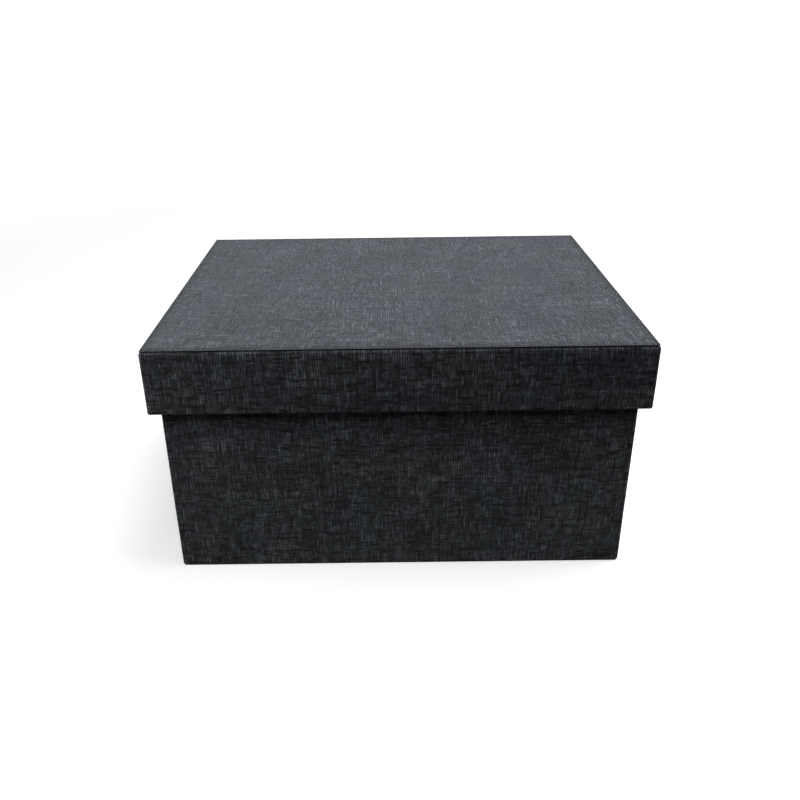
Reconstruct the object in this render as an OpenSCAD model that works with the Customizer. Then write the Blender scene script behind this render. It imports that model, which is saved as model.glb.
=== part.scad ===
/* [Outside size] */
// Width of the lid over its cloth, left to right
lid_w = 250; // [160:1:320]
// Depth of the lid over its cloth, front to back
lid_d = 204; // [120:1:280]
// Height of the closed box
box_h = 130; // [70:1:200]
// Height of the lid, from the lower edge of its skirt to its top
lid_h = 34.2; // [30:0.1:60]

/* [Board and coverings] */
// Thickness of the greyboard
board_t = 3; // [2:0.1:3.5]
// Radius of the board frames' upright outer corners
board_r = 0.65; // [0.4:0.05:1.5]
// Thickness of the paper-backed linen cloth
cloth_t = 0.55; // [0.3:0.05:0.7]
// Thickness of the lining paper
lining_t = 0.25; // [0.1:0.05:0.4]
// Thickness of the lined card on the floor
floor_card_t = 0.4; // [0.3:0.1:1.2]
// Thickness of the gummed tape round the corners
tape_t = 0.15; // [0.1:0.05:0.25]

/* [Cloth and lining edges] */
// How far the cloth turns in over the rim, and up inside the lid's skirt
turn_in = 18; // [10:1:20]
// How far the cloth turns under the base, and over the lid's top
turn_under = 15; // [8:1:20]
// How far the top and bottom sheets stop short of the outer faces
sheet_inset = 0.5; // [0.2:0.1:2]
// How far the wall linings stop short of the rim and the skirt's edge
lining_drop = 3; // [2:0.5:6]
// How far the corner tape reaches along each wall
tape_leg = 14; // [8:1:20]

/* [Fit] */
// Gap on each side between the base's cloth and the cloth turned in inside the lid
lid_play = 1.1; // [0.8:0.1:2]
// Gap round the cards and linings that are laid in
laid_gap = 0.2; // [0.1:0.05:0.5]

/* [Hidden] */

cloth_colour = [0.20, 0.21, 0.22];
board_colour = [0.52, 0.50, 0.47];
tape_colour = [0.62, 0.48, 0.32];
lining_colour = [0.13, 0.135, 0.145];
card_colour = [0.78, 0.75, 0.68];

arc_sides = 32; // sides of the drawn corner circles

// Base, over its cloth: the lid's wall of cloth, board and turned-in cloth stands outside it
overhang = cloth_t + board_t + cloth_t + lid_play;
base_w = lid_w - 2 * overhang;
base_d = lid_d - 2 * overhang;

// Outlines of the two board frames, outside and inside
base_board_w = base_w - 2 * cloth_t;
base_board_d = base_d - 2 * cloth_t;
lid_board_w = lid_w - 2 * cloth_t;
lid_board_d = lid_d - 2 * cloth_t;
cloth_r = board_r + cloth_t;

// Heights of the lid's layers, from the top down
cover_top_z = box_h - cloth_t; // turned-over cloth and infill, under the top sheet
top_board_z1 = cover_top_z - cloth_t;
top_board_z0 = top_board_z1 - board_t;
skirt_z0 = box_h - lid_h; // lower edge of the skirt, over its cloth
skirt_board_z0 = skirt_z0 + cloth_t;

// Heights of the base's layers, from the floor up
cover_under_z = cloth_t; // turned-under cloth and infill, on the bottom sheet
bottom_board_z0 = cover_under_z + cloth_t;
bottom_board_z1 = bottom_board_z0 + board_t;
rim_z = top_board_z0 - lining_t; // the lid's ceiling lining rests on the rim
wall_board_z1 = rim_z - cloth_t;

// Rectangle with rounded corners, or square ones where r isn't above 0
module outline(w, d, r) {
    if (r > 0) {
        square([w - 2 * r, d], center = true);
        square([w, d - 2 * r], center = true);
        for (sx = [-1, 1], sy = [-1, 1])
            translate([sx * (w / 2 - r), sy * (d / 2 - r)])
                circle(r, $fn = arc_sides);
    } else {
        square([w, d], center = true);
    }
}

module slab(w, d, r, z0, z1) {
    translate([0, 0, z0])
        linear_extrude(z1 - z0)
            outline(w, d, r);
}

// Upright band that runs round the outline, its thickness measured inwards
module ring(w, d, r, band, z0, z1) {
    translate([0, 0, z0])
        linear_extrude(z1 - z0)
            difference() {
                outline(w, d, r);
                outline(w - 2 * band, d - 2 * band, r - band);
            }
}

// Gummed tape round one upright corner of a board frame, flush with the board's faces.
// grow swells its outer side and ends, for cutting the bed that it is pressed into.
module corner_tape(w, d, z0, z1, sx, sy, grow = 0) {
    leg = tape_leg + grow;
    intersection() {
        ring(w + 2 * grow, d + 2 * grow, board_r + grow, tape_t + grow, z0 - grow, z1 + grow);
        translate([sx * (w / 2 - tape_leg + leg / 2), sy * (d / 2 - tape_leg + leg / 2), (z0 + z1) / 2])
            cube([leg, leg, z1 - z0 + 2 * grow], center = true);
    }
}

// Frame of wall boards, less the shallow beds of the tapes
module board_frame(w, d, z0, z1) {
    difference() {
        ring(w, d, board_r, board_t, z0, z1);
        for (sx = [-1, 1], sy = [-1, 1])
            corner_tape(w, d, z0, z1, sx, sy, grow = 1);
    }
}

// Front (sy = -1) or back (sy = 1) wall, as long as the frame is wide
module long_wall(w, d, z0, z1, sy) {
    intersection() {
        board_frame(w, d, z0, z1);
        translate([0, sy * (d - board_t) / 2, (z0 + z1) / 2])
            cube([w, board_t, z1 - z0], center = true);
    }
}

// Left (sx = -1) or right (sx = 1) wall, butted between the long ones
module short_wall(w, d, z0, z1, sx) {
    intersection() {
        board_frame(w, d, z0, z1);
        translate([sx * (w - board_t) / 2, 0, (z0 + z1) / 2])
            cube([board_t, d - 2 * board_t, z1 - z0], center = true);
    }
}

// Strip of cloth round the four walls: turned under at z = 0, turned in over the lip at z = h
module side_cover(w, d, h) {
    lip_w = cloth_t + board_t + cloth_t;
    inner_w = w - 2 * (cloth_t + board_t);
    inner_d = d - 2 * (cloth_t + board_t);
    ring(w, d, cloth_r, cloth_t, 0, h);
    ring(w, d, cloth_r, turn_under, 0, cloth_t);
    ring(w, d, cloth_r, lip_w, h - cloth_t, h);
    ring(inner_w, inner_d, 0, cloth_t, h - cloth_t - turn_in, h);
}

// Lining paper from the panel board at z = 0 up over the turned-in cloth, to just short of the lip
module wall_lining(w, d, h) {
    step_z = h - cloth_t - turn_in;
    ring(w, d, 0, lining_t, 0, step_z);
    ring(w, d, 0, cloth_t + lining_t, step_z - lining_t, step_z);
    ring(w - 2 * cloth_t, d - 2 * cloth_t, 0, lining_t, step_z - lining_t, h - lining_drop);
}

// Card laid level with the cloth that is turned over the panel board
module infill(w, d, z) {
    window = 2 * (turn_under + laid_gap);
    slab(w - window, d - window, 0, z, z + cloth_t);
}

// Lining laid flat inside the wall lining
module flat_lining(w, d, z, t) {
    edge = 2 * (board_t + lining_t + laid_gap);
    slab(w - edge, d - edge, 0, z, z + t);
}

// ---- Base ----

module base_bottom_board() {
    color(board_colour)
        slab(base_board_w, base_board_d, board_r, bottom_board_z0, bottom_board_z1);
}

module base_long_wall(sy) {
    color(board_colour)
        long_wall(base_board_w, base_board_d, bottom_board_z1, wall_board_z1, sy);
}

module base_short_wall(sx) {
    color(board_colour)
        short_wall(base_board_w, base_board_d, bottom_board_z1, wall_board_z1, sx);
}

module base_tape(sx, sy) {
    color(tape_colour)
        corner_tape(base_board_w, base_board_d, bottom_board_z1, wall_board_z1, sx, sy);
}

module base_side_cover() {
    color(cloth_colour)
        translate([0, 0, cover_under_z])
            side_cover(base_w, base_d, rim_z - cover_under_z);
}

module base_bottom_infill() {
    color(card_colour)
        infill(base_w, base_d, cover_under_z);
}

module base_bottom_sheet() {
    color(cloth_colour)
        slab(base_w - 2 * sheet_inset, base_d - 2 * sheet_inset, cloth_r, 0, cloth_t);
}

module base_wall_lining() {
    color(lining_colour)
        translate([0, 0, bottom_board_z1])
            wall_lining(base_board_w - 2 * board_t, base_board_d - 2 * board_t, rim_z - bottom_board_z1);
}

module base_floor_lining() {
    color(lining_colour)
        flat_lining(base_board_w, base_board_d, bottom_board_z1, floor_card_t);
}

// ---- Lid ----

module lid_top_board() {
    color(board_colour)
        slab(lid_board_w, lid_board_d, board_r, top_board_z0, top_board_z1);
}

module lid_long_wall(sy) {
    color(board_colour)
        long_wall(lid_board_w, lid_board_d, skirt_board_z0, top_board_z0, sy);
}

module lid_short_wall(sx) {
    color(board_colour)
        short_wall(lid_board_w, lid_board_d, skirt_board_z0, top_board_z0, sx);
}

module lid_tape(sx, sy) {
    color(tape_colour)
        corner_tape(lid_board_w, lid_board_d, skirt_board_z0, top_board_z0, sx, sy);
}

module lid_side_cover() {
    color(cloth_colour)
        translate([0, 0, cover_top_z])
            mirror([0, 0, 1])
                side_cover(lid_w, lid_d, cover_top_z - skirt_z0);
}

module lid_top_infill() {
    color(card_colour)
        infill(lid_w, lid_d, top_board_z1);
}

module lid_top_sheet() {
    color(cloth_colour)
        slab(lid_w - 2 * sheet_inset, lid_d - 2 * sheet_inset, cloth_r, cover_top_z, box_h);
}

module lid_wall_lining() {
    color(lining_colour)
        translate([0, 0, top_board_z0])
            mirror([0, 0, 1])
                wall_lining(lid_board_w - 2 * board_t, lid_board_d - 2 * board_t, top_board_z0 - skirt_z0);
}

module lid_ceiling_lining() {
    color(lining_colour)
        flat_lining(lid_board_w, lid_board_d, top_board_z0 - lining_t, lining_t);
}

base_bottom_board();
base_long_wall(-1);  // base_front_board
base_long_wall(1);  // base_back_board
base_short_wall(-1);  // base_left_board
base_short_wall(1);  // base_right_board
base_tape(-1, -1);  // base_tape_front_left
base_tape(1, -1);  // base_tape_front_right
base_tape(-1, 1);  // base_tape_back_left
base_tape(1, 1);  // base_tape_back_right
base_side_cover();
base_bottom_infill();
base_bottom_sheet();
base_wall_lining();
base_floor_lining();
lid_top_board();
lid_long_wall(-1);  // lid_front_board
lid_long_wall(1);  // lid_back_board
lid_short_wall(-1);  // lid_left_board
lid_short_wall(1);  // lid_right_board
lid_tape(-1, -1);  // lid_tape_front_left
lid_tape(1, -1);  // lid_tape_front_right
lid_tape(-1, 1);  // lid_tape_back_left
lid_tape(1, 1);  // lid_tape_back_right
lid_side_cover();
lid_top_infill();
lid_top_sheet();
lid_wall_lining();
lid_ceiling_lining();
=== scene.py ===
import math

import bpy
import numpy as np
from mathutils import Matrix, Vector


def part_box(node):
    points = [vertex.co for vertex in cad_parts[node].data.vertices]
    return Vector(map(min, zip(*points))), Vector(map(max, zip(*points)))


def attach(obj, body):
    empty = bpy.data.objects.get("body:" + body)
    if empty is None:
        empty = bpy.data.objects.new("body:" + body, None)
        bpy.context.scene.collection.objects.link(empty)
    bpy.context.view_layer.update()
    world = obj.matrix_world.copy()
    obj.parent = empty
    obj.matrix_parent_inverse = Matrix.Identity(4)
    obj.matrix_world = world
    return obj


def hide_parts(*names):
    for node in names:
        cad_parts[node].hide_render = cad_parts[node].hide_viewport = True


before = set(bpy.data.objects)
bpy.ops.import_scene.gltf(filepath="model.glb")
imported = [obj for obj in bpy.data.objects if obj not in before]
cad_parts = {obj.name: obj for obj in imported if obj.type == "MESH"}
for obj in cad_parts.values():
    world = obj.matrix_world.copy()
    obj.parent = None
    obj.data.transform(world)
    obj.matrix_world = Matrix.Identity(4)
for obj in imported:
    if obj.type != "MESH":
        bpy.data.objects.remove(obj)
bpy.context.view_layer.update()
mm = 0.001
print("frame loaded:", len(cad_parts), "CAD nodes")


camera = {
    "place": (-6.3, -456.9, 277.1),  # mm, from the centre of the underside
    "turn": 0.15,  # degrees to the left of straight ahead
    "tilt": 26.145,  # degrees below the horizon
    "roll": -0.778,
    "lens": 36.29,
    "shift": 0.0187,
}


# The view axes: forward from turn and tilt, then right and up turned about it by roll.
def makeCamera(c):
    turn, tilt, roll = (math.radians(c[k]) for k in ("turn", "tilt", "roll"))
    forward = Vector((-math.sin(turn) * math.cos(tilt), math.cos(turn) * math.cos(tilt), -math.sin(tilt)))
    level = Vector((math.cos(turn), math.sin(turn), 0))
    upright = level.cross(forward)
    right = math.cos(roll) * level + math.sin(roll) * upright
    up = math.cos(roll) * upright - math.sin(roll) * level
    data = bpy.data.cameras.new("camera")
    data.lens = c["lens"]
    data.sensor_width = 36
    data.shift_x = c["shift"]
    data.clip_start = 0.01
    data.clip_end = 30
    obj = bpy.data.objects.new("camera", data)
    bpy.context.collection.objects.link(obj)
    axes = Matrix((right, up, -forward)).transposed().to_4x4()
    obj.matrix_world = Matrix.Translation(Vector(c["place"]) * mm) @ axes
    bpy.context.scene.camera = obj


makeCamera(camera)


# Lowest and highest place of a node along one axis: the same coordinate of its box's two corners.
def spanOf(node, axis):
    low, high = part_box(node)
    return low[axis], high[axis]


clothThick = spanOf("base_bottom_sheet", 2)[1] - spanOf("base_bottom_sheet", 2)[0]
boardThick = spanOf("lid_top_board", 2)[1] - spanOf("lid_top_board", 2)[0]
paperThick = spanOf("lid_ceiling_lining", 2)[1] - spanOf("lid_ceiling_lining", 2)[0]
boardRadius = 0.65 * mm  # of the boards' upright corners
leastRadius = 0.3 * mm  # of an outline set far inwards
samePlace = 1e-7  # m, within which two points are one
arcSteps = 6  # in each fold of a section


# Width and depth of a node's outline.
def outlineOf(node):
    low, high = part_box(node)
    return high[0] - low[0], high[1] - low[1]


baseBoard = outlineOf("base_bottom_board")
lidBoard = outlineOf("lid_top_board")


# Points at distances s along a rounded rectangle, counted from the middle of its back side towards the left,
# on the outline set inwards by offset. A point is its corner circle's centre, or the same place along a
# straight side, plus the circle's radius along the outward normal.
def outlineAt(s, size, radius, offset):
    w, d = size
    hx, hy, quarter = w / 2 - radius, d / 2 - radius, radius * math.pi / 2
    steps = [hx, quarter, 2 * hy, quarter, 2 * hx, quarter, 2 * hy, quarter, hx]
    knots = np.concatenate([[0], np.cumsum(steps)])
    along = np.mod(s, knots[-1])
    fx = np.interp(along, knots, [0, -1, -1, -1, -1, 1, 1, 1, 1, 0])
    fy = np.interp(along, knots, [1, 1, 1, -1, -1, -1, -1, 1, 1, 1])
    angle = np.radians(np.interp(along, knots, [90, 90, 180, 180, 270, 270, 360, 360, 450, 450]))
    nx, ny = np.cos(angle), np.sin(angle)
    own = np.maximum(radius - offset, leastRadius)
    x = fx * np.maximum(w / 2 - offset - own, 0) + own * nx
    y = fy * np.maximum(d / 2 - offset - own, 0) + own * ny
    return x, y, knots, angle


# A polyline with its corners rounded: straight runs cut to at most step, and arcs of arcSteps. Gives the
# places, the unit directions and the length run so far.
def filletedLine(points, radii, step):
    p = np.array(points, float)
    out = [p[0]]
    for i in range(1, len(p) - 1):
        before, after = p[i] - p[i - 1], p[i + 1] - p[i]
        before, after = before / np.linalg.norm(before), after / np.linalg.norm(after)
        half = math.acos(float(np.clip(before @ after, -1, 1))) / 2
        cut = radii[i - 1] * math.tan(half)
        start = p[i] - before * cut
        turn = np.sign(before[0] * after[1] - before[1] * after[0])
        centre = start + radii[i - 1] * turn * np.array([-before[1], before[0]])
        spoke = start - centre
        out.append(start)
        for k in range(1, arcSteps + 1):
            a = turn * 2 * half * k / arcSteps
            turned = [spoke[0] * math.cos(a) - spoke[1] * math.sin(a),
                      spoke[0] * math.sin(a) + spoke[1] * math.cos(a)]
            out.append(centre + np.array(turned))
    out.append(p[-1])
    full = [out[0]]
    for q in out[1:]:
        gap = np.linalg.norm(q - full[-1])
        n = max(1, int(math.ceil(gap / step)))
        full += [full[-1] + (q - full[-1]) * k / n for k in range(1, n + 1)]
    line = np.array(full)
    way = np.gradient(line, axis=0)
    way /= np.linalg.norm(way, axis=1)[:, None]
    run = np.concatenate([[0], np.cumsum(np.linalg.norm(np.diff(line, axis=0), axis=1))])
    return line, way, run


# A gentle unevenness: amount times the sum of eight plane waves of about that length, in random directions,
# over the root of eight.
def ripple(x, y, amount, length, seed):
    rng = np.random.default_rng(seed)
    total = np.zeros(np.broadcast(x, y).shape)
    for _ in range(8):
        turn, start = rng.uniform(0, 2 * math.pi, 2)
        pace = 2 * math.pi / (length * rng.uniform(0.6, 1.6))
        total += np.sin(pace * (x * math.cos(turn) + y * math.sin(turn)) + start)
    return amount * total / math.sqrt(8)


# One piece from its points, faces, flat cloth coordinates and the material number of each face.
def meshPiece(name, points, faces, uv, kinds, body, materials):
    mesh = bpy.data.meshes.new(name)
    mesh.from_pydata(points.tolist(), [], faces)
    layer = mesh.uv_layers.new(name="cloth")
    corner = np.empty(len(mesh.loops), np.int32)
    mesh.loops.foreach_get("vertex_index", corner)
    layer.data.foreach_set("uv", uv[corner].astype(np.float32).ravel())
    mesh.polygons.foreach_set("material_index", kinds.astype(np.int32))
    for m in materials:
        mesh.materials.append(m)
    mesh.polygons.foreach_set("use_smooth", np.ones(len(mesh.polygons), bool))
    mesh.set_sharp_from_angle(angle=math.radians(38))
    mesh.update()
    obj = bpy.data.objects.new(name, mesh)
    bpy.context.collection.objects.link(obj)
    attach(obj, body)
    return obj


# One number for each point, which a material reads by name.
def addNumber(obj, name, values):
    layer = obj.data.attributes.new(name, "FLOAT", "POINT")
    layer.data.foreach_set("value", values.astype(np.float32).ravel())


# A band with a thickness, carried round an outline. line is its glued side as places (inwards, upwards); side
# is the sign that turns its direction into the outward normal. low and high are how far the glued and the
# open face stand off it, on the grid of s by line. The loop of the section runs out along the open face and
# back along the glued one, and both ends of the band are closed.
def carriedStrip(name, body, materials, size, radius, s, line, side, low, high, flip,
                 uvStart=(0, 0)):
    places, way, run = line
    normal = side * np.stack([-way[:, 1], way[:, 0]], axis=1)
    loops, n = [], len(places)
    for off in (high, low):
        inwards = places[None, :, 0] + off * normal[None, :, 0]
        upwards = places[None, :, 1] + off * normal[None, :, 1]
        x, y, _, _ = outlineAt(s[:, None], size, radius, inwards)
        loops.append(np.stack([x, y, upwards * np.ones_like(x)], axis=2))
    ring = np.concatenate([loops[0], loops[1][:, ::-1]], axis=1)
    rows, m = ring.shape[:2]
    index = np.arange(rows * m).reshape(rows, m)
    nextIn = np.roll(index, -1, axis=1)
    walls = np.stack([index[:-1], nextIn[:-1], nextIn[1:], index[1:]], axis=2).reshape(-1, 4)
    kinds = np.zeros((rows - 1, m), int)
    kinds[:, n - 1] = kinds[:, m - 1] = 1
    ends = []
    for row, turned in ((0, True), (rows - 1, False)):
        outer, inner = index[row, :n], index[row, n:][::-1]
        cap = np.stack([outer[:-1], outer[1:], inner[1:], inner[:-1]], axis=1)
        ends.append(cap[:, ::-1] if turned else cap)
    faces = np.concatenate([walls, *ends])
    if flip:
        faces = faces[:, ::-1]
    kinds = np.concatenate([kinds.ravel(), np.ones(len(faces) - len(walls), int)])
    u = np.broadcast_to(s[:, None] + uvStart[0], (rows, m))
    v = np.broadcast_to(np.concatenate([run, run[::-1]])[None] + uvStart[1], (rows, m))
    uv = np.stack([u, v], axis=2).reshape(-1, 2)
    return meshPiece(name, ring.reshape(-1, 3), faces.tolist(), uv, kinds, body, materials)


# Distances along the outline from start to end: at every corner's ends, in twelve steps round each corner, at
# most step apart on the straights, and finer where fine lists (from, to, step).
def samplesRound(size, radius, start, end, step, fine=()):
    _, _, knots, _ = outlineAt(np.zeros(1), size, radius, 0)
    around = knots[-1]
    marks = [np.linspace(start, end, int((end - start) / step) + 1)]
    for turn in (0, 1, 2):
        for a, b in zip(knots[:-1] + turn * around, knots[1:] + turn * around):
            isCorner = abs((b - a) - radius * math.pi / 2) < 1e-7
            marks.append(np.linspace(a, b, 13) if isCorner else np.array([a, b]))
    marks += [np.linspace(a, b, int((b - a) / each) + 1) for a, b, each in fine]
    s = np.unique(np.round(np.concatenate(marks), 7))
    return s[(s >= start - 1e-9) & (s <= end + 1e-9)]


# 0 below low and 1 above high, and 3t^2 - 2t^3 of the share t of the way between.
def smoothStep(x, low, high):
    t = np.clip((x - low) / (high - low), 0, 1)
    return t * t * (3 - 2 * t)


# A node with its settings and inputs. An input is a value or another node's output; its name has underscores
# for spaces, and a number after n picks a socket by place.
def addNode(tree, kind, settings=None, **inputs):
    node = tree.nodes.new(kind)
    for key, value in (settings or {}).items():
        setattr(node, key, value)
    for key, value in inputs.items():
        byPlace = key[0] == "n" and key[1:].isdigit()
        socket = node.inputs[int(key[1:]) if byPlace else key.replace("_", " ")]
        if isinstance(value, bpy.types.NodeSocket):
            tree.links.new(value, socket)
        else:
            socket.default_value = value
    return node


# One sum of a Math node.
def calc(tree, operation, *values):
    inputs = {f"n{i}": v for i, v in enumerate(values)}
    return addNode(tree, "ShaderNodeMath", {"operation": operation}, **inputs).outputs[0]


# value carried in a straight line from one range to another, and kept inside it.
def remap(tree, value, fromLow, fromHigh, low, high):
    node = addNode(tree, "ShaderNodeMapRange", {"clamp": True},
                   n0=value, n1=fromLow, n2=fromHigh, n3=low, n4=high)
    return node.outputs[0]


# Three numbers as one vector.
def joinXyz(tree, x, y, z=0.0):
    return addNode(tree, "ShaderNodeCombineXYZ", n0=x, n1=y, n2=z).outputs[0]


# Smooth noise of about 0 to 1, with scale bumps to a unit of the vector.
def noiseAt(tree, vector, scale, detail=2.0, roughness=0.5):
    node = addNode(tree, "ShaderNodeTexNoise", {"noise_dimensions": "3D"},
                   Vector=vector, Scale=scale, Detail=detail, Roughness=roughness)
    return node.outputs["Fac"]


# a + factor (b - a), or a times b for the blend MULTIPLY.
def mixColour(tree, factor, a, b, blend="MIX"):
    node = addNode(tree, "ShaderNodeMix", {"data_type": "RGBA", "blend_type": blend}, n0=factor, n6=a, n7=b)
    return node.outputs[2]


# A new material with its node tree and its surface shader.
def newMaterial(name):
    material = bpy.data.materials.new(name)
    material.use_nodes = True
    tree = material.node_tree
    return material, tree, tree.nodes["Principled BSDF"]


# Normals tilted by the slope of height, which is distance metres deep.
def bumpFrom(tree, height, distance, strength=1.0):
    node = addNode(tree, "ShaderNodeBump", Strength=strength, Distance=distance, Height=height)
    return node.outputs["Normal"]


linen = {
    "warpPitch": 1.20,  # mm between threads that run up the walls
    "weftPitch": 1.05,  # mm between threads that run round them
    "warpDark": (0.008, 0.0088, 0.0108, 1),
    "warpLight": (0.108, 0.115, 0.130, 1),
    "weftDark": (0.004, 0.0044, 0.0056, 1),
    "weftLight": (0.036, 0.038, 0.044, 1),
    "cool": (0.97, 0.99, 1.035, 1),
    "warm": (1.025, 1.01, 0.97, 1),
    "green": (0.970, 1.020, 0.985, 1),
    "rose": (1.020, 0.982, 1.012, 1),
    "warpWidths": (0.60, 1.0),  # share of the pitch that a thread fills, from thin to full slub
    "weftWidths": (0.70, 1.1),
    "warpLift": 0.30,  # how much a full slub raises its thread over those it crosses
    "weftLift": 0.85,
    "warpBias": 0.42,  # how far the upright threads lie above the others
    "warpSlub": 7.0,  # mm, length of a slub
    "weftSlub": 8.0,
    "bars": (40.0, 3.2),  # mm, length and height of the broad bars
    "uneven": (0.78, 1.22),  # shade of the darkest and palest bars and clouds
    "pressedShade": 0.28,  # painted shade: the cloth's colour is multiplied by this at its cut edge, where it is also pressed down
    "relief": 0.35,  # mm
    "roughness": 0.74,
    "sheen": 0.5,
    "sheenTint": (0.90, 0.95, 1.0, 1),
}


# Plain weave on the piece's flat cloth coordinates in mm: pale threads one way and dark ones across. Each
# thread has its own number, and a noise drawn out along it gives its slubs, which make it thicker and paler
# or darker. A thread's height is its round section, plus a wave over and under the threads that it crosses,
# plus its slub, and the higher of the two threads shows.
def linenMaterial(name, spec):
    material, tree, shader = newMaterial(name)
    flat = addNode(tree, "ShaderNodeUVMap", {"uv_map": "cloth"}).outputs["UV"]
    inMm = addNode(tree, "ShaderNodeVectorMath", {"operation": "SCALE"}, Vector=flat, Scale=1000.0).outputs[0]
    split = addNode(tree, "ShaderNodeSeparateXYZ", Vector=inMm)
    x, y = split.outputs[0], split.outputs[1]
    drift = calc(tree, "MULTIPLY_ADD", noiseAt(tree, inMm, 0.02, 1.0), 1.5, x)
    lift = calc(tree, "MULTIPLY_ADD", noiseAt(tree, inMm, 0.03, 1.0), 4.0, y)
    acrossX = joinXyz(tree, calc(tree, "DIVIDE", x, 2.6), calc(tree, "DIVIDE", y, 30.0), 5.0)
    acrossY = joinXyz(tree, calc(tree, "DIVIDE", x, 25.0), calc(tree, "DIVIDE", y, 2.6), 7.0)
    drift = calc(tree, "MULTIPLY_ADD", noiseAt(tree, acrossX, 1.0, 1.0), 1.3, drift)
    lift = calc(tree, "MULTIPLY_ADD", noiseAt(tree, acrossY, 1.0, 1.0), 0.9, lift)
    a = calc(tree, "DIVIDE", drift, spec["warpPitch"])
    b = calc(tree, "DIVIDE", lift, spec["weftPitch"])
    ia, ib = calc(tree, "FLOOR", a), calc(tree, "FLOOR", b)
    u = calc(tree, "SUBTRACT", calc(tree, "FRACT", a), 0.5)
    v = calc(tree, "SUBTRACT", calc(tree, "FRACT", b), 0.5)
    warpKey = joinXyz(tree, calc(tree, "MULTIPLY", ia, 3.71), calc(tree, "DIVIDE", y, spec["warpSlub"]), 2.0)
    weftKey = joinXyz(tree, calc(tree, "DIVIDE", x, spec["weftSlub"]), calc(tree, "MULTIPLY", ib, 3.37), 9.0)
    warpSlub = remap(tree, noiseAt(tree, warpKey, 1.0, 2.0, 0.6), 0.28, 0.72, 0.0, 1.0)
    weftSlub = remap(tree, noiseAt(tree, weftKey, 1.0, 2.0, 0.6), 0.28, 0.72, 0.0, 1.0)
    patch = remap(tree, noiseAt(tree, inMm, 0.06, 2.0, 0.6), 0.3, 0.7, -0.16, 0.16)

    # The round section 1 - (2 across / width)^2, kept above 0, and the height: 0.5 of the section, + 0.06 of
    # the wave over and under, + lift of the slub.
    def threadAt(across, slub, over, lift, widths):
        width = remap(tree, slub, 0.0, 1.0, *widths)
        square = calc(tree, "POWER", calc(tree, "DIVIDE", calc(tree, "MULTIPLY", across, 2.0), width), 2.0)
        section = calc(tree, "MAXIMUM", calc(tree, "SUBTRACT", 1.0, square), 0.0)
        raised = calc(tree, "MULTIPLY_ADD", over, 0.06, calc(tree, "MULTIPLY", section, 0.5))
        return section, calc(tree, "MULTIPLY_ADD", slub, lift, raised)

    overWarp = calc(tree, "SINE", calc(tree, "MULTIPLY", calc(tree, "ADD", b, ia), math.pi))
    wave = calc(tree, "SINE", calc(tree, "MULTIPLY", calc(tree, "ADD", a, ib), math.pi))
    overWeft = calc(tree, "MULTIPLY", wave, -1.0)
    warpSection, warpHeight = threadAt(u, warpSlub, overWarp, spec["warpLift"], spec["warpWidths"])
    weftSection, weftHeight = threadAt(v, weftSlub, overWeft, spec["weftLift"], spec["weftWidths"])
    warpHeight = calc(tree, "ADD", warpHeight, calc(tree, "ADD", patch, spec["warpBias"]))
    top = calc(tree, "MAXIMUM", warpHeight, weftHeight)
    isWarp = remap(tree, calc(tree, "SUBTRACT", warpHeight, weftHeight), -0.04, 0.04, 0.0, 1.0)
    section = addNode(tree, "ShaderNodeMix", {"data_type": "FLOAT"},
                      n0=isWarp, n2=weftSection, n3=warpSection)

    fibre = noiseAt(tree, inMm, 3.1, 3.0, 0.7)
    mottle = noiseAt(tree, inMm, 0.035, 2.0, 0.5)
    longKey = joinXyz(tree, calc(tree, "MULTIPLY", ia, 5.31), calc(tree, "DIVIDE", y, 70.0), 4.0)
    warpTone = calc(tree, "MULTIPLY_ADD", noiseAt(tree, longKey, 1.0, 1.0), 0.7, -0.35)
    warpTone = calc(tree, "MULTIPLY_ADD", warpSlub, 0.95, warpTone)
    warpTone = calc(tree, "MULTIPLY_ADD", calc(tree, "SUBTRACT", fibre, 0.5), 0.5, warpTone)
    weftTone = calc(tree, "MULTIPLY_ADD", calc(tree, "SUBTRACT", fibre, 0.5), 0.5,
                    calc(tree, "SUBTRACT", 1.0, weftSlub))
    warpColour = mixColour(tree, warpTone, spec["warpDark"], spec["warpLight"])
    weftColour = mixColour(tree, weftTone, spec["weftDark"], spec["weftLight"])
    colour = mixColour(tree, isWarp, weftColour, warpColour)
    # Painted shade: the colour darkens towards the gaps between threads, where the section falls to nothing,
    # as the shade in those grooves.
    paintedGapShade = remap(tree, section.outputs[0], 0.0, 0.75, 0.10, 1.25)
    barLength, barHeight = spec["bars"]
    barKey = joinXyz(tree, calc(tree, "DIVIDE", x, barLength), calc(tree, "DIVIDE", y, barHeight), 1.0)
    bars = noiseAt(tree, barKey, 1.0, 2.0)
    shade = calc(tree, "MULTIPLY", paintedGapShade, remap(tree, mottle, 0.3, 0.7, *spec["uneven"]))
    shade = calc(tree, "MULTIPLY", shade, remap(tree, bars, 0.3, 0.7, *spec["uneven"]))
    shade = calc(tree, "MULTIPLY", shade, remap(tree, weftSlub, 0.0, 1.0, 1.50, 0.40))
    wearAndHighlight = addNode(tree, "ShaderNodeAttribute", {"attribute_name": "wearAndEdgeHighlight"}).outputs["Fac"]
    pressed = addNode(tree, "ShaderNodeAttribute", {"attribute_name": "pressed"}).outputs["Fac"]
    # Partly wear, partly painted highlight: the cloth is paler along folds and upright corners, as worn
    # threads and as the light that an edge catches.
    shade = calc(tree, "MULTIPLY_ADD", calc(tree, "MULTIPLY", wearAndHighlight, fibre), 0.45, shade)
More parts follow.
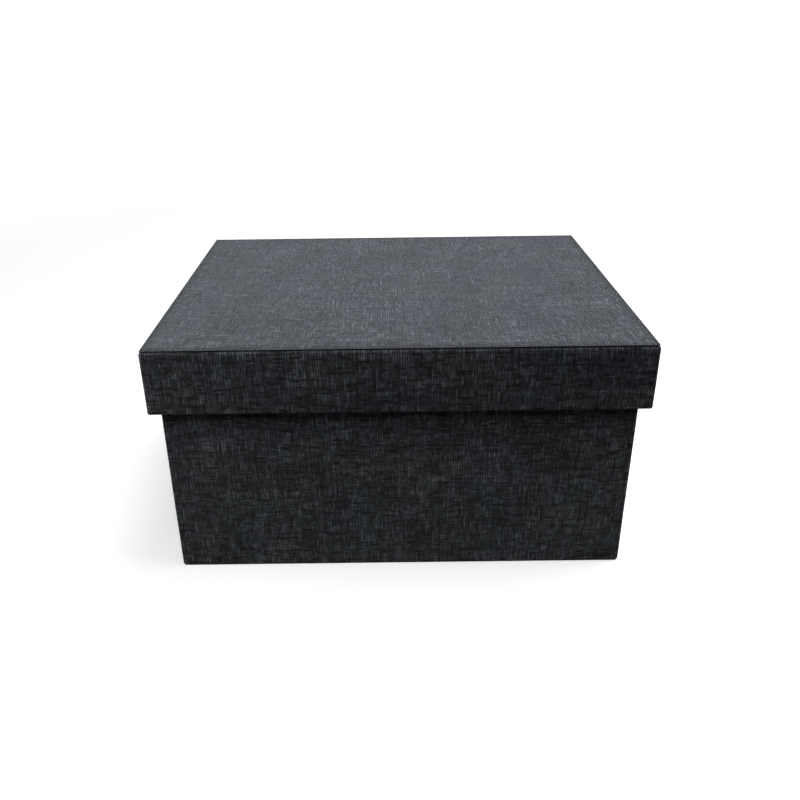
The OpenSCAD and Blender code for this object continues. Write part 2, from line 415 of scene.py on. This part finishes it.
    # Painted shade: the colour darkens within the sheet's margin of its cut edge.
    shade = calc(tree, "MULTIPLY", shade, remap(tree, pressed, 0.0, 1.0, 1.0, spec["pressedShade"]))
    colour = mixColour(tree, 1.0, colour, joinXyz(tree, shade, shade, shade), "MULTIPLY")
    hues = ((0.028, 0.42, 0.58, "cool", "warm"), (0.045, 0.42, 0.58, "green", "rose"))
    for scale, low, high, one, other in hues:
        hue = remap(tree, noiseAt(tree, inMm, scale, 3.0, 0.6), low, high, 0.0, 1.0)
        colour = mixColour(tree, 1.0, colour, mixColour(tree, hue, spec[one], spec[other]), "MULTIPLY")
    tree.links.new(colour, shader.inputs["Base Color"])
    tree.links.new(remap(tree, top, 0.0, 1.0, 0.97, spec["roughness"]), shader.inputs["Roughness"])
    relief = calc(tree, "MULTIPLY_ADD", fibre, 0.25, top)
    tree.links.new(bumpFrom(tree, relief, spec["relief"] * mm), shader.inputs["Normal"])
    shader.inputs["Specular IOR Level"].default_value = 0.3
    shader.inputs["Sheen Weight"].default_value = spec["sheen"]
    shader.inputs["Sheen Roughness"].default_value = 0.35
    shader.inputs["Sheen Tint"].default_value = spec["sheenTint"]
    return material


# Board, paper or card: a colour that varies with a coarse and a fine noise, with fibres and flecks.
def plainMaterial(name, spec):
    material, tree, shader = newMaterial(name)
    place = addNode(tree, "ShaderNodeTexCoord").outputs["Object"]
    coarse = noiseAt(tree, place, spec["coarse"], 3.0, 0.6)
    fine = noiseAt(tree, place, spec["fine"], 4.0, 0.7)
    stretched = addNode(tree, "ShaderNodeMapping", n3=spec["grain"], Vector=place).outputs[0]
    fibres = noiseAt(tree, stretched, spec["fine"] * 0.4, 3.0, 0.6)
    tone = calc(tree, "ADD", calc(tree, "MULTIPLY", coarse, 0.45), calc(tree, "MULTIPLY", fine, 0.30))
    tone = calc(tree, "MULTIPLY_ADD", fibres, 0.35, tone)
    colour = mixColour(tree, remap(tree, tone, 0.35, 0.75, 0.0, 1.0), spec["dark"], spec["light"])
    flecks = remap(tree, noiseAt(tree, place, spec["fine"] * 0.7, 1.0), 0.68, 0.74, 0.0, spec["flecks"])
    colour = mixColour(tree, flecks, colour, spec["fleck"])
    tree.links.new(colour, shader.inputs["Base Color"])
    tree.links.new(remap(tree, fine, 0.3, 0.7, spec["roughness"] - 0.06, spec["roughness"] + 0.06),
                   shader.inputs["Roughness"])
    relief = calc(tree, "MULTIPLY_ADD", fibres, 0.6, fine)
    tree.links.new(bumpFrom(tree, relief, spec["relief"] * mm), shader.inputs["Normal"])
    shader.inputs["Specular IOR Level"].default_value = 0.3
    return material


papers = {  # coarse and fine are noise bumps to a metre, grain is their stretch, relief is in mm
    "cutEdge": {
        "dark": (0.004, 0.0042, 0.005, 1), "light": (0.022, 0.023, 0.026, 1),
        "fleck": (0.08, 0.08, 0.09, 1), "flecks": 0.6,
        "coarse": 400, "fine": 3000, "grain": (1, 1, 1), "roughness": 0.92, "relief": 0.06,
    },
    "greyboard": {
        "dark": (0.22, 0.205, 0.185, 1), "light": (0.40, 0.38, 0.345, 1),
        "fleck": (0.08, 0.09, 0.12, 1), "flecks": 0.5,
        "coarse": 60, "fine": 900, "grain": (1, 6, 6), "roughness": 0.9, "relief": 0.05,
    },
    "kraftTape": {
        "dark": (0.30, 0.19, 0.10, 1), "light": (0.47, 0.33, 0.20, 1),
        "fleck": (0.2, 0.12, 0.06, 1), "flecks": 0.4,
        "coarse": 50, "fine": 1100, "grain": (4, 4, 1), "roughness": 0.72, "relief": 0.03,
    },
    "liningPaper": {
        "dark": (0.030, 0.031, 0.034, 1), "light": (0.062, 0.064, 0.070, 1),
        "fleck": (0.12, 0.12, 0.13, 1), "flecks": 0.25,
        "coarse": 40, "fine": 1300, "grain": (1, 1, 5), "roughness": 0.84, "relief": 0.03,
    },
    "infillCard": {
        "dark": (0.50, 0.45, 0.36, 1), "light": (0.66, 0.61, 0.50, 1),
        "fleck": (0.35, 0.28, 0.18, 1), "flecks": 0.3,
        "coarse": 50, "fine": 1000, "grain": (1, 5, 1), "roughness": 0.85, "relief": 0.02,
    },
}
cloth = linenMaterial("charcoalLinen", linen)
cutEdge = plainMaterial("linenCutEdge", papers["cutEdge"])
greyboard = plainMaterial("greyboard", papers["greyboard"])
kraftTape = plainMaterial("kraftTape", papers["kraftTape"])
liningPaper = plainMaterial("liningPaper", papers["liningPaper"])
infillCard = plainMaterial("infillCard", papers["infillCard"])
print("materials made")


# Puts one material on every slot of a CAD node.
def paintNode(node, material):
    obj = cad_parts[node]
    for slotItem in obj.material_slots:
        slotItem.material = material
    if not obj.material_slots:
        obj.data.materials.append(material)


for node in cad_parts:
    kind = greyboard if node.endswith("_board") else kraftTape if "_tape_" in node else infillCard
    paintNode(node, kind)


sideCover = {
    "turnIn": 18,  # mm of cloth inside the rim
    "turnUnder": 15,  # mm of cloth under the bottom, or over the top
    "lap": 15,  # mm from the corner to the strip's start, which its end laps over
    "lapStop": 1.6,  # mm from the corner to the cut end
    "baseFold": (0.45, 0.45, 0.45),  # mm, radius of the board side: at the panel, outside the rim, inside it
    "lidFold": (1.15, 0.6, 0.6),
    "groove": 0.3,  # mm, depth of the mitre at the rim's corners
    "unevenness": 0.05,  # mm
    "step": 3.5,  # mm between rows
}


# The strip starts on the back near a corner, goes once round and laps over its own start. Its section runs
# from under the panel board, up the wall, over the wall's edge and down inside.
def coverMesh(name, body, size, panelZ, lipZ, fold, seed):
    c = sideCover
    up = -1 if panelZ > lipZ else 1
    points = [
        (c["turnUnder"] * mm - clothThick, panelZ),
        (0, panelZ),
        (0, lipZ),
        (boardThick, lipZ),
        (boardThick, lipZ - up * c["turnIn"] * mm),
    ]
    line = filletedLine(points, [f * mm for f in fold], c["step"] * mm)
    places, _, run = line
    hx = size[0] / 2
    _, _, knots, _ = outlineAt(np.zeros(1), size, boardRadius, 0)
    around = knots[-1]
    start, end = hx - c["lap"] * mm, around + hx - c["lapStop"] * mm
    ramp = (around + start - 1 * mm, around + start + 2.5 * mm)
    s = samplesRound(size, boardRadius, start, end, c["step"] * mm,
                     fine=[(start, hx, 0.8 * mm), (around + start - 2 * mm, end, 0.5 * mm)])
    lipRun = run[np.argmin(np.linalg.norm(places - np.array([0, lipZ]), axis=1))]
    panelRun = run[np.argmin(np.linalg.norm(places - np.array([0, panelZ]), axis=1))]
    wall = smoothStep(run, panelRun, panelRun + 1.5 * mm) * (1 - smoothStep(run, lipRun - 1.5 * mm, lipRun))
    onTop = smoothStep(s, *ramp)[:, None]
    below = 1 - smoothStep(s, hx - 2.6 * mm, hx - 1.6 * mm)[:, None]
    t = clothThick
    high = t + onTop * wall[None] * t + below * (1 - wall[None]) * -0.5 * t
    low = onTop * (wall[None] * t + (1 - wall[None]) * 0.45 * t)
    angle = outlineAt(s, size, boardRadius, 0)[3]
    fromBisector = np.abs(np.mod(np.degrees(angle), 90) - 45)
    isArc = (fromBisector < 44.9) & (np.mod(np.degrees(angle), 90) > 0.1)
    mitre = np.where(isArc, np.exp(-(fromBisector / 14) ** 2), 0)[:, None]
    past = smoothStep(run, lipRun - 0.2 * mm, lipRun + 0.6 * mm)[None]
    high = high - c["groove"] * mm * mitre * past
    high = high + ripple(s[:, None], run[None], c["unevenness"] * mm, 30 * mm, seed) * wall[None]
    piece = carriedStrip(name, body, [cloth, cutEdge], size, boardRadius, s, line, up,
                         low, high, up < 0, uvStart=(seed * 0.37, seed * 0.21))
    # Wear and painted highlight: paler near each fold of the section and all along the upright corners.
    nearFold = np.zeros(len(run))
    for corner in points[1:4]:
        at = run[np.argmin(np.linalg.norm(places - np.array(corner), axis=1))]
        nearFold = np.maximum(nearFold, np.exp(-((run - at) / (1.0 * mm)) ** 2))
    upright = np.where(isArc, 1.0, 0.0)
    foldWearAndHighlight = np.maximum(nearFold[None], upright[:, None] * np.ones_like(nearFold)[None])
    addNumber(piece, "wearAndEdgeHighlight", np.concatenate([foldWearAndHighlight, foldWearAndHighlight[:, ::-1]], axis=1))
    addNumber(piece, "pressed", np.zeros(foldWearAndHighlight.size * 2))
    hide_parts(f"{body}_side_cover")
    return piece


basePanelZ = spanOf("base_bottom_board", 2)[0]
baseLipZ = spanOf("base_front_board", 2)[1]
lidPanelZ = spanOf("lid_top_board", 2)[1]
lidLipZ = spanOf("lid_front_board", 2)[0]
coverMesh("base_side_cloth", "base", baseBoard, basePanelZ, baseLipZ, sideCover["baseFold"], 3)
coverMesh("lid_side_cloth", "lid", lidBoard, lidPanelZ, lidLipZ, sideCover["lidFold"], 8)
print("side covers made")


pressDepth = 0.16  # mm by which a sheet's cut edge is pressed down
sheets = {  # radius, rounding, margin and ripple are in mm
    "lid_top_sheet": {
        "name": "lid_top_cloth", "body": "lid", "slot": "linen_cloth", "up": 1, "seed": 5,
        "radius": 0.9, "rounding": 0.12, "margin": 6, "ripple": 0.04,
        "rests": ["lid_side_cloth", "lid_top_board"],
    },
    "base_bottom_sheet": {
        "name": "base_bottom_cloth", "body": "base", "slot": "linen_cloth", "up": -1, "seed": 11,
        "radius": 0.9, "rounding": 0.12, "margin": 2, "ripple": 0.0,
        "rests": ["base_side_cloth", "base_bottom_board"],
    },
    "base_floor_lining": {
        "name": "base_floor_paper", "body": "base", "slot": "lining_paper", "up": 1, "seed": 17,
        "radius": 0.5, "rounding": 0.1, "margin": 0.1, "ripple": 0.05, "rests": [],
    },
    "lid_ceiling_lining": {
        "name": "lid_ceiling_paper", "body": "lid", "slot": "lining_paper", "up": -1, "seed": 23,
        "radius": 0.5, "rounding": 0.06, "margin": 0.1, "ripple": 0.0, "rests": [],
    },
}


# A plate as nested outlines, from the middle of its open face out to the cut edge, over it, and back to the
# middle of the glued face. Sheets laid flat keep their own x and y as cloth coordinates.
def sheetMesh(node, spec):
    low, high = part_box(node)
    size = (high[0] - low[0], high[1] - low[1])
    up = spec["up"]
    openZ, gluedZ = (high[2], low[2]) if up > 0 else (low[2], high[2])
    r = spec["rounding"] * mm
    radius = spec["radius"] * mm
    middle = size[1] / 2
    insets = np.concatenate([[0, 0.4, 1, 2, 3.5], np.arange(6, middle / mm - 2, 4)]) * mm
    insets = np.append(insets[insets > r * 1.5], middle)[::-1]
    arc = np.radians(np.arange(0, 91, 30))
    inwards = np.concatenate([insets, r * (1 - np.sin(arc)), r * (1 - np.sin(arc[::-1])), insets[::-1]])
    face = np.concatenate([np.full(len(insets), openZ), openZ - up * r * (1 - np.cos(arc)),
                           gluedZ + up * r * (1 - np.cos(arc[::-1])), np.full(len(insets), gluedZ)])
    _, _, knots, _ = outlineAt(np.zeros(1), size, radius, 0)
    s = samplesRound(size, radius, 0, knots[-1], 5 * mm)[:-1]
    x, y, _, _ = outlineAt(s[:, None], size, radius, inwards[None])
    isMiddle = inwards > middle - 1e-9
    reach = size[0] / 2 - middle
    x[:, isMiddle] = np.clip(x[:, isMiddle], -reach, reach)
    y[:, isMiddle] = 0
    z = np.broadcast_to(face, x.shape).copy()
    margin = 1 - smoothStep(inwards, 0, spec["margin"] * mm)
    isOpen = np.zeros(len(face))
    isOpen[: len(insets)] = 1
    calm = smoothStep(inwards, 0.5 * mm, 12 * mm)
    z += up * ripple(x, y, spec["ripple"] * mm, 45 * mm, spec["seed"]) * (isOpen * calm)[None]
    z -= up * pressDepth * mm * (isOpen * margin)[None]
    rows, m = x.shape
    points = np.stack([x, y, z], axis=2).reshape(-1, 3)
    index = np.arange(rows * m).reshape(rows, m)
    after = np.roll(index, -1, axis=0)
    faces = np.stack([index[:, :-1], after[:, :-1], after[:, 1:], index[:, 1:]], axis=2)
    kinds = np.zeros((rows, m - 1), int)
    kinds[:, len(insets) + 1: len(insets) + 6] = 1
    faces = faces.reshape(-1, 4)
    if up > 0:
        faces = faces[:, ::-1]
    uv = points[:, :2] + np.array([spec["seed"] * 0.31, spec["seed"] * 0.17])
    isCloth = spec["slot"] == "linen_cloth"
    materials = [cloth, cutEdge] if isCloth else [liningPaper, liningPaper]
    points, faces, kinds, uv = mergeSame(points, faces, kinds.ravel(), uv)
    piece = meshPiece(spec["name"], points, faces, uv, kinds, spec["body"], materials)
    if isCloth:
        addNumber(piece, "wearAndEdgeHighlight", np.zeros(len(points)))
        # Painted shade on the sheet: 1 at its cut edge, falling to 0 over the margin.
        edge = np.minimum(size[0] / 2 - np.abs(points[:, 0]), size[1] / 2 - np.abs(points[:, 1]))
        addNumber(piece, "pressed", 1 - smoothStep(edge, 0, spec["margin"] * mm))
    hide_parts(node)
    return piece


# Points at one place become one. A quad that loses one edge by it becomes a triangle, and one that loses more
# goes.
def mergeSame(points, quads, kinds, uv):
    places = np.round(points / samePlace).astype(np.int64)
    _, first, same = np.unique(places, axis=0, return_index=True, return_inverse=True)
    joined = same.ravel()[quads]
    lost = joined == np.roll(joined, 1, axis=1)
    whole, cut = lost.sum(axis=1) == 0, lost.sum(axis=1) == 1
    triangles = joined[cut][~lost[cut]].reshape(-1, 3)
    faces = joined[whole].tolist() + triangles.tolist()
    return points[first], faces, np.concatenate([kinds[whole], kinds[cut]]), uv[first]


for node, spec in sheets.items():
    sheetMesh(node, spec)
print("flat sheets made")


wallLining = {
    "drop": 3,  # mm from the rim to the paper's edge
    "lap": 10,  # mm from the corner to the paper's start, which its end laps over
    "ease": 1.4,  # mm over which the paper climbs onto the turned-in cloth
    "step": 4,
}


# Paper from the panel board to just short of the lip. It climbs over the end of the turned-in cloth in a
# short slope, and its own end laps over its start in a corner.
def liningMesh(node, name, body, size, floorZ, lipZ, seed):
    c = wallLining
    up = -1 if floorZ > lipZ else 1
    clothEnd = lipZ - up * sideCover["turnIn"] * mm
    ease = c["ease"] * mm
    points = [
        (boardThick, floorZ),
        (boardThick, clothEnd - up * ease),
        (boardThick + clothThick, clothEnd + up * 0.2 * mm),
        (boardThick + clothThick, lipZ + up * (clothThick - c["drop"] * mm)),
    ]
    line = filletedLine(points, [1.0 * mm, 1.0 * mm], c["step"] * mm)
    run = line[2]
    _, _, knots, _ = outlineAt(np.zeros(1), size, boardRadius, 0)
    around = knots[-1]
    hx = size[0] / 2
    start, end = hx - boardThick - c["lap"] * mm, around + hx - boardThick - 1.2 * mm
    s = samplesRound(size, boardRadius, start, end, c["step"] * mm,
                     fine=[(around + start - 1.5 * mm, end, 0.6 * mm)])
    onTop = smoothStep(s, around + start - 0.6 * mm, around + start + 0.8 * mm)[:, None]
    t = paperThick
    calm = smoothStep(run, 0, 6 * mm) * (1 - smoothStep(run, run[-1] - 3 * mm, run[-1]))
    high = t + onTop * t + ripple(s[:, None], run[None], 0.04 * mm, 40 * mm, seed) * calm[None]
    low = onTop * t
    piece = carriedStrip(name, body, [liningPaper, liningPaper], size, boardRadius, s, line,
                         -up, low, high, up > 0)
    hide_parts(node)
    return piece


baseFloorZ, lidCeilingZ = spanOf("base_bottom_board", 2)[1], spanOf("lid_top_board", 2)[0]
liningMesh("base_wall_lining", "base_wall_paper", "base", baseBoard, baseFloorZ, baseLipZ, 29)
liningMesh("lid_wall_lining", "lid_wall_paper", "lid", lidBoard, lidCeilingZ, lidLipZ, 31)
print("linings made")


studio = {
    "ambient": 0.03,
    "fade": (0.35, 0.9),  # m from the box's centre, over which the floor turns into plain white
    "floorRadius": 6,  # m
    "floorSides": 64,
    "overhead": {"place": (0.62, 0.34, 1.00), "aim": (0.62, 0.34, 0), "size": (1.3, 1.3), "power": 20.8,
                 "colour": (0.96, 0.99, 1.05), "spread": 180},
    "left": {"place": (-0.36, -0.22, 0.31), "aim": (-0.02, -0.1, 0.08), "size": (0.14, 0.14), "power": 0.66,
             "colour": (1, 0.99, 0.98), "spread": 180},
    "front": {"place": (-0.06, -0.58, 0.88), "aim": (0, -0.1, 0.05), "size": (0.5, 0.5), "power": 1.5,
              "colour": (0.97, 1, 1.03), "spread": 180},
    "low": {"place": (0.20, -0.60, 0.03), "aim": (0.03, -0.1, 0.025), "size": (0.4, 0.06), "power": 0.020,
            "colour": (1, 0.98, 0.90), "spread": 22},
}


# A rectangular light at place, turned to face aim.
def softLight(name, spec):
    data = bpy.data.lights.new(name, "AREA")
    data.shape = "RECTANGLE"
    data.size, data.size_y = spec["size"]
    data.energy = spec["power"]
    data.color = spec["colour"]
    data.spread = math.radians(spec["spread"])
    obj = bpy.data.objects.new(name, data)
    bpy.context.collection.objects.link(obj)
    place = Vector(spec["place"])
    obj.location = place
    obj.rotation_euler = (Vector(spec["aim"]) - place).to_track_quat("-Z", "Y").to_euler()
    obj.visible_camera = False
    return obj


# A wide pale disc just under the box, seen from above only, that fades out to the white of the studio.
def makeFloor():
    sides, radius, below = studio["floorSides"], studio["floorRadius"], 0.1 * mm
    angle = np.linspace(0, 2 * math.pi, sides, endpoint=False)
    rim = np.stack([radius * np.cos(angle), radius * np.sin(angle), np.full(sides, -below)], axis=1)
    mesh = bpy.data.meshes.new("floor")
    mesh.from_pydata(rim.tolist(), [], [list(range(sides))])
    material, tree, shader = newMaterial("paleFloor")
    shader.inputs["Base Color"].default_value = (0.86, 0.86, 0.86, 1)
    shader.inputs["Roughness"].default_value = 0.9
    shader.inputs["Specular IOR Level"].default_value = 0.1
    shader.inputs["Emission Color"].default_value = (1, 1, 1, 1)
    shader.inputs["Emission Strength"].default_value = 0.45
    clear = addNode(tree, "ShaderNodeBsdfTransparent")
    behind = addNode(tree, "ShaderNodeNewGeometry").outputs["Backfacing"]
    place = addNode(tree, "ShaderNodeTexCoord").outputs["Object"]
    away = addNode(tree, "ShaderNodeVectorMath", {"operation": "LENGTH"}, Vector=place).outputs["Value"]
    hidden = calc(tree, "MAXIMUM", behind, remap(tree, away, studio["fade"][0], studio["fade"][1], 0.0, 1.0))
    both = addNode(tree, "ShaderNodeMixShader", n0=hidden, n1=shader.outputs[0], n2=clear.outputs[0])
    tree.links.new(both.outputs[0], tree.nodes["Material Output"].inputs["Surface"])
    mesh.materials.append(material)
    floor = bpy.data.objects.new("floor", mesh)
    bpy.context.collection.objects.link(floor)
    floor.visible_diffuse = False
    floor.visible_glossy = False


# Plain white to the camera, and a dim white fill to everything else.
def makeWorld():
    world = bpy.data.worlds.new("studio")
    bpy.context.scene.world = world
    world.use_nodes = True
    tree = world.node_tree
    dim = tree.nodes["Background"]
    dim.inputs["Color"].default_value = (1, 1, 1, 1)
    dim.inputs["Strength"].default_value = studio["ambient"]
    white = addNode(tree, "ShaderNodeBackground", Color=(1, 1, 1, 1), Strength=1.0)
    seen = addNode(tree, "ShaderNodeLightPath").outputs["Is Camera Ray"]
    both = addNode(tree, "ShaderNodeMixShader", n0=seen, n1=dim.outputs[0], n2=white.outputs[0])
    tree.links.new(both.outputs[0], tree.nodes["World Output"].inputs["Surface"])


makeFloor()
makeWorld()
for name in ("overhead", "left", "front", "low"):
    softLight(name, studio[name])
bpy.context.scene.view_settings.view_transform = "Standard"
print("stage made")
